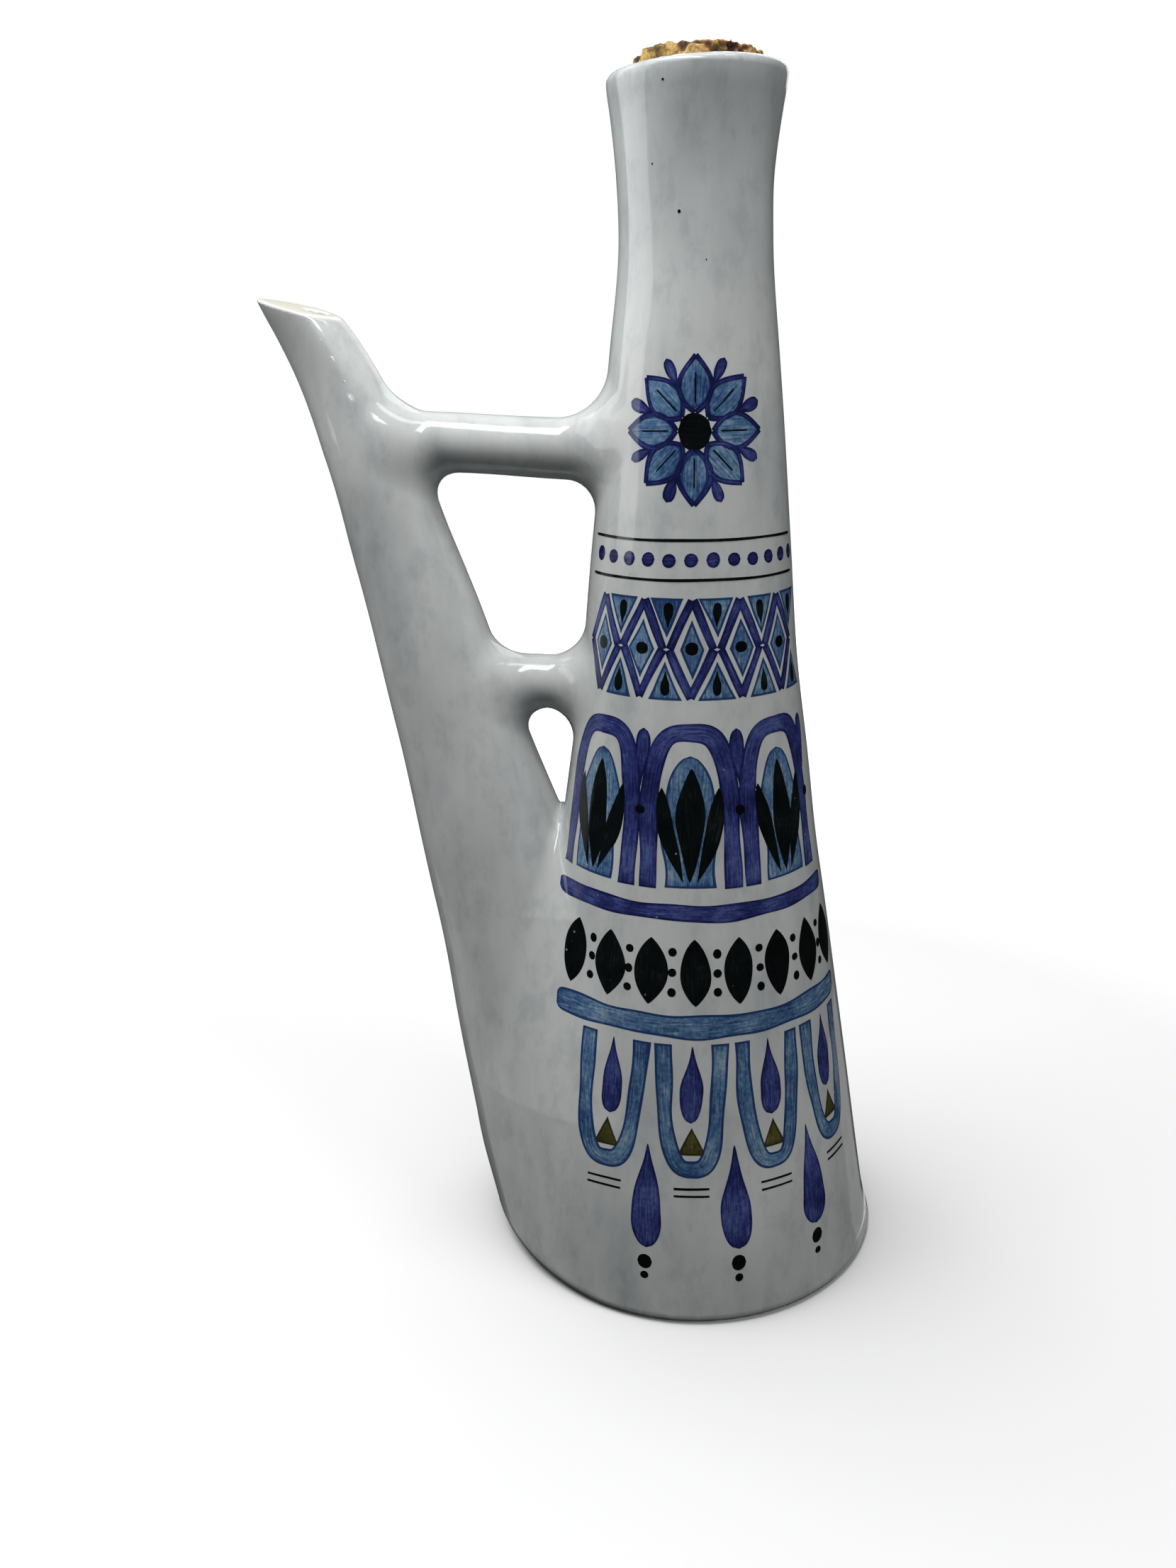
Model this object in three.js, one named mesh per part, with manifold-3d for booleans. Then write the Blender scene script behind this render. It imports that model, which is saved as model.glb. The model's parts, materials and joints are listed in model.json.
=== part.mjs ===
// A ceramic spirits bottle with a long side spout and a cork.
// The fired clay is built from the members that a potter lutes together: a floor, a tapering
// body wall, a flared neck, a leaning spout with its beak, and two bridging bars that make the
// handle. The cork is the one loose piece. Millimetres, +Z up. The origin is on the body's axis,
// on the underside of the floor. The spout points to -X and the painted front faces -Y.

import * as THREE from 'three';
import { mergeVertices } from 'three/addons/utils/BufferGeometryUtils.js';
import Module from 'manifold-3d';

const wasm = await Module();
wasm.setup();

const radians = THREE.MathUtils.degToRad;

// Heights above the table
const lipHeight = 360;
const floorThickness = 6;
const neckJointHeight = 300;

// Clearance that every luted joint keeps between its two members
const luteGap = 0.3;

// Outside of the turned body, from the foot to the narrow throat
const footRadius = 64;
const footRound = 3;
const flankHeight = 90;
const flankRadius = 49.7;
const girdleHeight = 180;
const girdleRadius = 35.6;
const shoulderHeight = 250;
const shoulderRadius = 28.4;
const throatHeight = 318;
const bodyWall = 5;

// Cork, and the walls of the neck around its seat
const corkTopRadius = 17.8;
const corkBottomRadius = 16.4;
const corkLength = 35;
const corkStand = 5;
const corkEdge = 1.2;
const corkClearance = 0.3;
const neckWall = 5.1;
const lipWall = 7.2;
const lipRound = 5;
const lipInnerEdge = 1;

// Spout: a straight leaning cone that bends outward into the beak
const spoutFootOffset = 26;
const spoutFootRadius = 42.5;
const spoutLean = radians(15);
const spoutGripHeight = 152;
const spoutGripRadius = 23.6;
const spoutBendHeight = 250;
const spoutBendRadius = 15.3;
const spoutWall = 5;
const beakJointHeight = 281;
const mouthReach = 116.2;
const mouthHeight = 302.2;
const mouthRadius = 9.6;
const mouthSlope = radians(8.5);
const mouthRoll = radians(7);
const beakCorner = 0.12;
const beakPinch = 0.86;
const pourHoleRadius = 2.6;
const pourHoleLength = 12;

// Port through the body wall into the foot of the spout
const portHeight = 60;
const portWidth = 36;
const portCentreHeight = 50;

// Bridging bars between spout and body
const bridgeRadius = 9.2;
const bridgeFillet = 10;
const bridgeFilletTrim = 0.25;
const upperBridgeHeight = 261.2;
const upperBridgeRise = radians(2.8);
const lowerBridgeHeight = 190.2;

// Facets
const bodySides = 44;
const spoutSides = 32;
const bridgeSides = 22;
const bodySteps = 15;
const neckSteps = 9;
const filletSteps = 4;

// Sizes that follow from the ones above
const seatTopRadius = corkTopRadius + corkClearance;
const seatBottomRadius = corkBottomRadius + corkClearance;
const lipRadius = seatTopRadius + lipWall;
const throatRadius = seatBottomRadius + neckWall;
const corkTop = lipHeight + corkStand;
const corkBottom = corkTop - corkLength;
const lipCurve = Math.min(lipRound, lipWall - 2 * lipInnerEdge);

// The turned outline, as a smooth curve of radius against height
const outline = new THREE.SplineCurve([
  new THREE.Vector2(footRadius, 0),
  new THREE.Vector2(flankRadius, flankHeight),
  new THREE.Vector2(girdleRadius, girdleHeight),
  new THREE.Vector2(shoulderRadius, shoulderHeight),
  new THREE.Vector2(throatRadius, throatHeight),
  new THREE.Vector2(lipRadius, lipHeight - lipCurve),
]).getPoints(80);

function outerRadius(height) {
  const above = outline.findIndex((point) => point.y >= height);
  if (above < 0) return outline.at(-1).x;
  if (above === 0) return outline[0].x;
  const low = outline[above - 1];
  const high = outline[above];
  return THREE.MathUtils.mapLinear(height, low.y, high.y, low.x, high.x);
}

// Heights from low to high in equal steps, both ends included
function levels(low, high, steps) {
  return Array.from({ length: steps + 1 }, (_, i) => THREE.MathUtils.lerp(low, high, i / steps));
}

// A closed geometry as a solid, turned inside out first if its faces point inward
function toSolid(geometry) {
  const plain = geometry.clone();
  plain.deleteAttribute('normal');
  plain.deleteAttribute('uv');
  const merged = mergeVertices(plain, 1e-4);
  const vertProperties = new Float32Array(merged.attributes.position.array);
  const triVerts = Uint32Array.from(dropFlatTriangles(merged.index.array));
  const solid = new wasm.Manifold(new wasm.Mesh({ numProp: 3, vertProperties, triVerts }));
  if (solid.volume() > 0) return solid;
  for (let i = 0; i < triVerts.length; i += 3) {
    [triVerts[i], triVerts[i + 1]] = [triVerts[i + 1], triVerts[i]];
  }
  return new wasm.Manifold(new wasm.Mesh({ numProp: 3, vertProperties, triVerts }));
}

// Lathe faces that touch the axis collapse to a line once their vertices are merged
function dropFlatTriangles(indices) {
  const kept = [];
  for (let i = 0; i < indices.length; i += 3) {
    const [a, b, c] = indices.slice(i, i + 3);
    if (a !== b && b !== c && c !== a) kept.push(a, b, c);
  }
  return kept;
}

function toGeometry(solid) {
  const mesh = solid.getMesh();
  const geometry = new THREE.BufferGeometry();
  geometry.setAttribute('position', new THREE.BufferAttribute(new Float32Array(mesh.vertProperties), 3));
  geometry.setIndex(new THREE.BufferAttribute(new Uint32Array(mesh.triVerts), 1));
  geometry.computeVertexNormals();
  return geometry;
}

// A solid turned about the Z axis from [radius, height] pairs
function turned(pairs, sides = bodySides) {
  const points = pairs.map(([radius, height]) => new THREE.Vector2(radius, height));
  return toSolid(new THREE.LatheGeometry(points, sides).rotateX(Math.PI / 2));
}

function slab(low, high) {
  const reach = 4 * (footRadius + mouthReach);
  const box = new THREE.BoxGeometry(reach, reach, high - low);
  return toSolid(box.translate(0, 0, (low + high) / 2));
}

// The whole outside of the body, grown by a clearance, for cutting what meets it
function bodyOutside(grow) {
  const round = levels(0, Math.PI / 2, 4).map((angle) => [
    footRadius + grow - footRound * (1 - Math.sin(angle)),
    footRound * (1 - Math.cos(angle)),
  ]);
  const flank = levels(footRound, lipHeight - lipCurve, bodySteps + neckSteps).slice(1);
  const side = flank.map((height) => [outerRadius(height) + grow, height]);
  return turned([[0, 0], ...round, ...side, [0, lipHeight - lipCurve]]);
}

// The spout's centreline: a straight run that leans, then a bend to the mouth
const spoutFoot = new THREE.Vector3(-spoutFootOffset, 0, 0);
const leanDirection = new THREE.Vector3(-Math.sin(spoutLean), 0, Math.cos(spoutLean));
const spoutBend = spoutFoot.clone().addScaledVector(leanDirection, spoutBendHeight / leanDirection.z);
const mouthCentre = new THREE.Vector3(-mouthReach, 0, mouthHeight);
const bendReach = spoutBend.distanceTo(mouthCentre) / 2;
const bendControl = spoutBend.clone().addScaledVector(leanDirection, bendReach);
const bendCurve = new THREE.QuadraticBezierCurve3(spoutBend, bendControl, mouthCentre);
const spoutRadii = [
  [0, spoutFootRadius],
  [spoutGripHeight, spoutGripRadius],
  [spoutBendHeight, spoutBendRadius],
  [mouthHeight, mouthRadius],
];

function spoutRadius(height) {
  const last = spoutRadii.length - 1;
  const above = spoutRadii.findIndex(([level]) => level >= height);
  const upper = above < 0 ? last : Math.max(above, 1);
  const [lowHeight, lowRadius] = spoutRadii[upper - 1];
  const [highHeight, highRadius] = spoutRadii[upper];
  return THREE.MathUtils.mapLinear(height, lowHeight, highHeight, lowRadius, highRadius);
}

// Centre points and directions along the spout, from under the floor to past the mouth
function spoutStations() {
  const below = spoutFoot.clone().addScaledVector(leanDirection, -spoutFootRadius / 2);
  const straight = levels(0, 1, 14).map((share) => ({
    centre: below.clone().lerp(spoutBend, share),
    direction: leanDirection,
  }));
  const bent = levels(0, 1, 8).slice(1).map((share) => ({
    centre: bendCurve.getPoint(share),
    direction: bendCurve.getTangent(share),
  }));
  const end = bent.at(-1);
  const past = {
    centre: end.centre.clone().addScaledVector(end.direction, mouthRadius),
    direction: end.direction,
  };
  return [...straight, ...bent, past];
}

// A tube of changing section along the spout. The section turns from a circle into a rounded
// triangle with one corner outward, the pinched beak, as it nears the mouth.
function spoutSolid(radiusAt, shaped) {
  const stations = spoutStations();
  const positions = [];
  const indices = [];
  for (const { centre, direction } of stations) {
    const outward = new THREE.Vector3(-direction.z, 0, direction.x);
    const bendShare = THREE.MathUtils.clamp(
      (centre.z - spoutBendHeight) / (mouthHeight - spoutBendHeight), 0, 1);
    const corner = shaped ? beakCorner * bendShare : 0;
    const pinch = shaped ? THREE.MathUtils.lerp(1, beakPinch, bendShare) : 1;
    const radius = radiusAt(centre.z);
    for (let i = 0; i < spoutSides; i += 1) {
      const angle = (2 * Math.PI * i) / spoutSides;
      const reach = radius * (1 + corner * Math.cos(3 * angle));
      const point = centre.clone()
        .addScaledVector(outward, reach * Math.cos(angle) - corner * radius);
      positions.push(point.x, reach * pinch * Math.sin(angle), point.z);
    }
  }
  for (let ring = 0; ring < stations.length - 1; ring += 1) {
    for (let i = 0; i < spoutSides; i += 1) {
      const next = (i + 1) % spoutSides;
      const a = ring * spoutSides + i;
      const b = ring * spoutSides + next;
      indices.push(a, b, b + spoutSides, a, b + spoutSides, a + spoutSides);
    }
  }
  for (const [ring, station] of [[0, stations[0]], [stations.length - 1, stations.at(-1)]]) {
    const hub = positions.length / 3;
    positions.push(station.centre.x, 0, station.centre.z);
    for (let i = 0; i < spoutSides; i += 1) {
      const a = ring * spoutSides + i;
      const b = ring * spoutSides + ((i + 1) % spoutSides);
      indices.push(...(ring === 0 ? [hub, b, a] : [hub, a, b]));
    }
  }
  const geometry = new THREE.BufferGeometry();
  geometry.setAttribute('position', new THREE.Float32BufferAttribute(positions, 3));
  geometry.setIndex(indices);
  return toSolid(geometry);
}

function spoutOutside(grow) {
  return spoutSolid((height) => spoutRadius(height) + grow, true);
}

// Inside of the spout: a wall's thickness under the outside, closing to the small pour hole
function spoutBore() {
  const holeFoot = mouthHeight - pourHoleLength;
  return spoutSolid((height) => {
    const full = spoutRadius(height) - spoutWall;
    if (height >= holeFoot) return pourHoleRadius;
    if (height <= spoutBendHeight) return full;
    const share = (height - spoutBendHeight) / (holeFoot - spoutBendHeight);
    const start = spoutBendRadius - spoutWall;
    return THREE.MathUtils.lerp(start, pourHoleRadius, share);
  }, false);
}

// Everything above a plane square to the spout, through its centreline at a height
function aboveSpoutJoint(height, shift) {
  const share = THREE.MathUtils.clamp(
    (height - spoutBendHeight) / (mouthHeight - spoutBendHeight), 0, 1);
  const centre = bendCurve.getPoint(share);
  const direction = bendCurve.getTangent(share);
  const size = 4 * spoutFootRadius;
  const box = new THREE.BoxGeometry(size, size, size);
  box.translate(0, 0, size / 2 + shift);
  box.rotateY(Math.atan2(direction.x, direction.z));
  box.translate(centre.x, 0, centre.z);
  return toSolid(box);
}

// Everything above the mouth's sloping cut
function aboveMouth() {
  const size = 8 * mouthRadius;
  const box = new THREE.BoxGeometry(size, size, size);
  box.translate(0, 0, size / 2);
  box.rotateY(mouthSlope);
  box.rotateX(mouthRoll);
  box.translate(mouthCentre.x, 0, mouthCentre.z);
  return toSolid(box);
}

// Floor: the whole footprint of body and spout, with a rounded edge under the body
function baseDisc() {
  return bodyOutside(0).add(spoutOutside(0)).intersect(slab(0, floorThickness));
}

// An elliptical passage along X, from inside the body into the spout
function port() {
  const oval = new THREE.Shape().absellipse(0, 0, portWidth / 2, portHeight / 2, 0, 2 * Math.PI);
  const passage = new THREE.ExtrudeGeometry(oval, {
    depth: footRadius, bevelEnabled: false, curveSegments: 12,
  });
  passage.rotateX(Math.PI / 2).rotateZ(-Math.PI / 2).translate(0, 0, portCentreHeight);
  return toSolid(passage);
}

function bodyWallSolid() {
  const heights = levels(floorThickness + luteGap, neckJointHeight, bodySteps);
  const outside = heights.map((height) => [outerRadius(height), height]);
  const inside = heights.toReversed().map((height) => [outerRadius(height) - bodyWall, height]);
  return turned([...outside, ...inside, outside[0]]).subtract(port());
}

// Neck: its wall narrows to the throat, then flares to a rounded lip around the cork's seat
function neckCollar() {
  const foot = neckJointHeight + luteGap;
  const outside = levels(foot, lipHeight - lipCurve, neckSteps).map((height) => [outerRadius(height), height]);
  const lip = levels(0, Math.PI / 2, 5).slice(1).map((angle) => [
    lipRadius - lipCurve * (1 - Math.cos(angle)),
    lipHeight - lipCurve * (1 - Math.sin(angle)),
  ]);
  const seatAtEdge = seatRadius(lipHeight - lipInnerEdge);
  const seat = [
    [seatAtEdge + lipInnerEdge, lipHeight],
    [seatAtEdge, lipHeight - lipInnerEdge],
    [seatBottomRadius, corkBottom],
  ];
  const bore = levels(foot, Math.min(throatHeight, corkBottom - luteGap), 3).toReversed()
    .map((height) => [Math.min(outerRadius(height) - bodyWall, outerRadius(height) - neckWall), height]);
  return turned([...outside, ...lip, ...seat, ...bore, outside[0]]);
}

function corkRadius(height) {
  return THREE.MathUtils.mapLinear(height, corkBottom, corkTop, corkBottomRadius, corkTopRadius);
}

function seatRadius(height) {
  return corkRadius(height) + corkClearance;
}

function corkSolid() {
  return turned([
    [0, corkBottom],
    [corkBottomRadius - corkEdge, corkBottom],
    [corkRadius(corkBottom + corkEdge), corkBottom + corkEdge],
    [corkRadius(corkTop - corkEdge), corkTop - corkEdge],
    [corkTopRadius - corkEdge, corkTop],
    [0, corkTop],
  ], spoutSides);
}

function spoutTube() {
  return spoutOutside(0)
    .subtract(spoutBore())
    .subtract(bodyOutside(luteGap))
    .subtract(slab(-2 * spoutFootRadius, floorThickness + luteGap))
    .subtract(aboveSpoutJoint(beakJointHeight, -luteGap / 2));
}

function spoutBeak() {
  return spoutOutside(0)
    .subtract(spoutBore())
    .intersect(aboveSpoutJoint(beakJointHeight, luteGap / 2))
    .subtract(aboveMouth());
}

// A bar from inside the spout to inside the body. Both ends swell into a fillet as they near
// the surface that they are luted to, and are then cut back to that surface.
function bridge(bodyHeight, rise) {
  const bodyEnd = -outerRadius(bodyHeight);
  const lean = Math.tan(spoutLean);
  const spoutHeight = bodyHeight + Math.tan(rise) * (spoutFootOffset + bodyHeight * lean + bodyEnd);
  const centreline = -spoutFootOffset - spoutHeight * lean;
  const spoutEnd = centreline + spoutRadius(spoutHeight) / Math.cos(spoutLean);
  const length = (bodyEnd - spoutEnd) / Math.cos(rise);
  const swell = Math.min(bridgeFillet, length / 2);
  const flare = (distance) => {
    const inside = swell - Math.max(distance, swell * bridgeFilletTrim);
    return inside <= 0 ? 0 : swell - Math.sqrt(swell ** 2 - inside ** 2);
  };
  const buried = spoutBendRadius * 0.7;
  const along = [
    -buried,
    ...levels(0, swell, filletSteps),
    ...levels(length - swell, length, filletSteps),
    length + buried,
  ];
  const side = along.map((distance) => [
    bridgeRadius + flare(Math.min(Math.max(distance, 0), Math.max(length - distance, 0))),
    distance,
  ]);
  const kept = side.filter(([, at], i) => i === 0 || at - side[i - 1][1] > 1e-3);
  const points = [[0, -buried], ...kept, [0, length + buried]]
    .map(([radius, at]) => new THREE.Vector2(radius, at));
  const bar = new THREE.LatheGeometry(points, bridgeSides).rotateZ(-Math.PI / 2);
  bar.rotateY(rise);
  bar.translate(spoutEnd, 0, bodyHeight + (bodyEnd - spoutEnd) * Math.tan(rise));
  return toSolid(bar)
    .subtract(bodyOutside(luteGap))
    .subtract(spoutOutside(luteGap));
}

// Finishes
const glaze = new THREE.MeshStandardMaterial({ color: 0xc9ccc7, roughness: 0.18, metalness: 0 });
const bareCork = new THREE.MeshStandardMaterial({ color: 0xc4935a, roughness: 0.9, metalness: 0 });

function piece(name, solid, material) {
  const mesh = new THREE.Mesh(toGeometry(solid), material);
  mesh.name = name;
  return mesh;
}

const fired = new THREE.Group();
fired.add(
  piece('base_disc', baseDisc(), glaze),
  piece('body_wall', bodyWallSolid(), glaze),
  piece('neck_collar', neckCollar(), glaze),
  piece('spout_tube', spoutTube(), glaze),
  piece('spout_beak', spoutBeak(), glaze),
  piece('upper_bridge', bridge(upperBridgeHeight, upperBridgeRise), glaze),
  piece('lower_bridge', bridge(lowerBridgeHeight, 0), glaze),
);

const bottle = new THREE.Group();
bottle.add(fired, piece('cork_stopper', corkSolid(), bareCork));

export default bottle;
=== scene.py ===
"""The looks of the ceramic bottle: a glazed shell with a side spout and two bars, a cork, a painted front.
Shapes are worked out in millimetres and handed to Blender in metres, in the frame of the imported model."""
import json
import math

import bpy
import numpy as np
from mathutils import Matrix, Vector

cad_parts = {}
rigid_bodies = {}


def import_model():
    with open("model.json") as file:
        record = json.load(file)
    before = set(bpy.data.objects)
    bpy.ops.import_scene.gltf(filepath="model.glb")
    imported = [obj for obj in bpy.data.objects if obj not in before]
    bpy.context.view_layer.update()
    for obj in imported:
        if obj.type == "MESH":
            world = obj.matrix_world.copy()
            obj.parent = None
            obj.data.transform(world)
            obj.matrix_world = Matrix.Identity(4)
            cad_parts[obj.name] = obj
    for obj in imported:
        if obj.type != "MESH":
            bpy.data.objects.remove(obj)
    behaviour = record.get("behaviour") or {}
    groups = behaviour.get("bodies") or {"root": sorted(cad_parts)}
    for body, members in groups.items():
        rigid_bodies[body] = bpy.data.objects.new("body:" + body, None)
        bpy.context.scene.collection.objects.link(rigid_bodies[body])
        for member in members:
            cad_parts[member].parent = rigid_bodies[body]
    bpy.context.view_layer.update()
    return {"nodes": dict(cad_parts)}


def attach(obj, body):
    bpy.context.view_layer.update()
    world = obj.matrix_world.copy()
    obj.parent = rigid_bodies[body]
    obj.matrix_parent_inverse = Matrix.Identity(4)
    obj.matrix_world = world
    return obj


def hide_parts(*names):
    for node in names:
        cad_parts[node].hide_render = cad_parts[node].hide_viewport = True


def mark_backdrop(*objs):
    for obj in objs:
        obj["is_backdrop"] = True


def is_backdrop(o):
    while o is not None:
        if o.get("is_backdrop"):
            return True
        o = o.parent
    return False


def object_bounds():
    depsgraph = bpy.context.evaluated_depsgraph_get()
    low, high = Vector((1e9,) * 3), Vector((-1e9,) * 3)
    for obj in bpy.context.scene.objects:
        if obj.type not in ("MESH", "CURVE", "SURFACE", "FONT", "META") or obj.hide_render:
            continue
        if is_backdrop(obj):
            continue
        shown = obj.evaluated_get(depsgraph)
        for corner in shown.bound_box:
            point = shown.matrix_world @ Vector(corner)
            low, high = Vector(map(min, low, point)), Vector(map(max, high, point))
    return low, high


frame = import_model()

MM = 0.001
rng = np.random.default_rng(20)

# Sizes of the bottle in millimetres
FLOOR = 6.0
WALL = 5.0
EDGE_ROUND = 0.9
NECK_JOINT = 300.0
BEAK_JOINT = 281.0

# Lip: it tilts, and its edge curls in a little
LIP_HEIGHT = 360.0
LIP_TILT_X = 0.032
LIP_TILT_Y = 0.006
LIP_ROUND = 2.1
LIP_CURL = 0.65
LIP_CURL_FROM = 353.0

# Foot: how far it is moved forward and the height where that has faded, and the rounder toe of the spout
FRONT_SHIFT = -2.3
FRONT_FADE = 170.0
FOOT_ROUND = 3.0
TOE_ROUND = 8.2
TOE_FROM = 15.0
TOE_GROWS_OVER = 40.0

# Inside: the seat of the cork, the port into the spout, the bore and the pour hole
SEAT_FOOT = 330.0
SEAT_LOW_RADIUS = 16.7
SEAT_HIGH_RADIUS = 18.1
SEAT_BLEND_FROM = 310.0
SEAT_BLEND_OVER = 20.0
PORT_HEIGHT = 60.0
PORT_WIDTH = 36.0
PORT_CENTRE = 50.0
PORT_REACH_X = -20.0
BORE_CLEAR = 0.5
BORE_END_ROUND = 4.0
BORE_SIDE_ROUND = 2.5
INNER_ROUND = 3.0
POUR_RADIUS = 2.2
POUR_SHIFT = 4.2
POUR_LENGTH = 17.0
POUR_FROM = 270.0

# Beak: where it forms, its ridge and pinch, and the sloping cut through it
BEAK_FROM = 250.0
BEAK_FORMS_OVER = 48.0
BEAK_POWER = 1.6
BEAK_SHIFT = -0.21
BEAK_RIDGE = -0.34
BEAK_PINCH = 0.86
BEAK_SOFTNESS = 1.1
RIDGE_FROM = 270.0
RIDGE_FADES_OVER = 30.0
MOUTH_X = -108.0
MOUTH_HEIGHT = 300.1
MOUTH_SLOPE = 0.23
MOUTH_ROLL = 0.156

# What turns a gap measured sideways into a straight one on the slanting walls
BODY_SLANT = 0.99
SPOUT_SLANT = 0.97

# Outlines as stations by height: body radius and centre, spout centre and radius
BODY_HEIGHTS = (0, 30, 72, 126, 180, 234, 288, 318, 336, 350, 366)
BODY_RADII = (62.4, 58.9, 52.1, 43.8, 35.6, 29.9, 24.6, 21.8, 22.0, 23.7, 26.8)
BODY_CENTRES = (0.9, 0.6, 0.2, 0.1, -0.2, -0.1, 0.1, 0.2, -0.3, -0.2, 0.0)
SPOUT_HEIGHTS = (0, 40, 80, 120, 160, 200, 235, 260, 280, 295, 308)
SPOUT_CENTRES = (-1.1, -24.5, -43.0, -57.3, -68.8, -79.5, -89.4, -96.6, -104.3, -112.3, -121.0)
SPOUT_RADII = (53.1, 43.1, 33.3, 26.1, 21.6, 18.2, 15.3, 13.6, 11.7, 10.3, 7.9)

# Bars: both ends, radius, fillets below, above on the spout side and above on the body side, middle
BARS = (
    dict(ends=((-86.0, 264.0), (-30.8, 260.8)), radius=8.9,
         below=9.6, spout_side=9.9, body_side=14.3, middle=-57.0),
    dict(ends=((-74.6, 191.7), (-30.0, 189.5)), radius=8.6,
         below=10.2, spout_side=6.6, body_side=11.0, middle=-49.0),
)
BAR_SIDE_BLEND = 4.0
BAR_HALF_THICKNESS = 9.0
BAR_RUN_ON = 1.2
# Fillets between spout and body by height
CROTCH_HEIGHTS = (0, 60, 120, 150, 175)
CROTCH_FILLETS = (10.1, 20.1, 14.0, 2.5, 1.0)

# Hand-made unevenness: wavelength and depth, and how many seeded waves there are of each
WAVES = ((72.0, 0.13), (38.0, 0.07), (21.0, 0.03))
WAVES_EACH = 3


def station_curve(places, values):
    """A smooth curve through stations, as a close table for np.interp."""
    z = np.array(places, float)
    v = np.array(values, float)
    h = np.diff(z)
    d = np.diff(v) / h
    m = np.empty(len(z))
    m[0] = d[0]
    m[-1] = d[-1]
    m[1:-1] = (d[:-1] * h[1:] + d[1:] * h[:-1]) / (h[1:] + h[:-1])
    at = np.linspace(z[0], z[-1], 800)
    i = np.clip(np.searchsorted(z, at) - 1, 0, len(h) - 1)
    t = (at - z[i]) / h[i]
    start = (2 * t**3 - 3 * t**2 + 1) * v[i] + (t**3 - 2 * t**2 + t) * h[i] * m[i]
    end = (3 * t**2 - 2 * t**3) * v[i + 1] + (t**3 - t**2) * h[i] * m[i + 1]
    return at, start + end


body_radius_curve = station_curve(BODY_HEIGHTS, BODY_RADII)
body_centre_curve = station_curve(BODY_HEIGHTS, BODY_CENTRES)
spout_centre_curve = station_curve(SPOUT_HEIGHTS, SPOUT_CENTRES)
spout_radius_curve = station_curve(SPOUT_HEIGHTS, SPOUT_RADII)
spout_lean_curve = (
    spout_centre_curve[0],
    1 / np.hypot(1, np.gradient(spout_centre_curve[1], spout_centre_curve[0])),
)


def body_radius(z):
    return np.interp(z, *body_radius_curve)


def body_centre(z):
    """The body's middle at a height: sideways, and forward near the foot."""
    fade = np.clip(1 - z / FRONT_FADE, 0, 1) ** 2
    return np.interp(z, *body_centre_curve), FRONT_SHIFT * fade


def ease(t):
    t = np.clip(t, 0, 1)
    return t * t * (3 - 2 * t)


def join_round(a, b, r):
    """Union of two gaps with a fillet of radius r."""
    return np.maximum(r, np.minimum(a, b)) - np.hypot(np.maximum(r - a, 0), np.maximum(r - b, 0))


def cut_round(a, b, r):
    """What two gaps share, with its edge rounded to radius r."""
    return np.minimum(-r, np.maximum(a, b)) + np.hypot(np.maximum(r + a, 0), np.maximum(r + b, 0))


wave_list = []
for length, depth in WAVES:
    for _ in range(WAVES_EACH):
        way = rng.normal(size=3)
        way /= np.linalg.norm(way)
        wave_list.append((way * 2 * math.pi / length, rng.uniform(0, 6.28), depth))


def unevenness(x, y, z):
    total = 0
    for way, phase, depth in wave_list:
        total = total + depth * np.sin(way[0] * x + way[1] * y + way[2] * z + phase)
    return total


def body_gap(x, y, z):
    cx, cy = body_centre(z)
    return (np.hypot(x - cx, y - cy) - body_radius(z)) * BODY_SLANT


def spout_place(x, z):
    """Offset outward from the spout's middle line, its radius, and how far the beak has formed."""
    zc = np.clip(z, 0, SPOUT_HEIGHTS[-1])
    off = -(x - np.interp(zc, *spout_centre_curve)) * np.interp(zc, *spout_lean_curve)
    return off, np.interp(zc, *spout_radius_curve), ease((z - BEAK_FROM) / BEAK_FORMS_OVER)


def spout_gap(x, y, z):
    """The spout's cone, whose top turns into a pinched beak."""
    off, r, formed = spout_place(x, z)
    power = 2 - (2 - BEAK_POWER) * formed
    fading = 1 - np.clip((z - RIDGE_FROM) / RIDGE_FADES_OVER, 0, 1)
    ridge = (BEAK_RIDGE * fading + BEAK_SHIFT) * r * formed
    soft = BEAK_SOFTNESS * formed
    half_depth = r * (1 + (BEAK_PINCH - 1) * formed)
    along = off - ridge
    half_length = np.where(along > 0, r - ridge, r + ridge)
    a = np.hypot(along, soft) / half_length
    b = np.hypot(y, soft) / half_depth
    return ((a**power + b**power) ** (1 / power) - 1) * half_depth * SPOUT_SLANT


def bar_gap(bar, x, y, z):
    """A bar's gap, and the radius of the fillet that it joins with there."""
    (x0, z0), (x1, z1) = bar["ends"]
    long = (x1 - x0) ** 2 + (z1 - z0) ** 2
    t = np.clip(((x - x0) * (x1 - x0) + (z - z0) * (z1 - z0)) / long, 0, BAR_RUN_ON)
    axis_z = z0 + t * (z1 - z0)
    gap = np.sqrt((x - x0 - t * (x1 - x0)) ** 2 + y * y + (z - axis_z) ** 2) - bar["radius"]
    side = 1 / (1 + np.exp(-(x - bar["middle"]) / BAR_SIDE_BLEND))
    above = bar["spout_side"] * (1 - side) + bar["body_side"] * side
    upper = np.interp(z - axis_z, [-BAR_HALF_THICKNESS, BAR_HALF_THICKNESS], [0, 1])
    return gap, bar["below"] * (1 - upper) + above * upper


MOUTH_NORMAL = (
    math.sin(MOUTH_SLOPE),
    -math.sin(MOUTH_ROLL) * math.cos(MOUTH_SLOPE),
    math.cos(MOUTH_ROLL) * math.cos(MOUTH_SLOPE),
)


def mouth_gap(x, y, z):
    """How far a point is beyond the sloping cut of the beak."""
    nx, ny, nz = MOUTH_NORMAL
    return (x - MOUTH_X) * nx + y * ny + (z - MOUTH_HEIGHT) * nz


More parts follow.
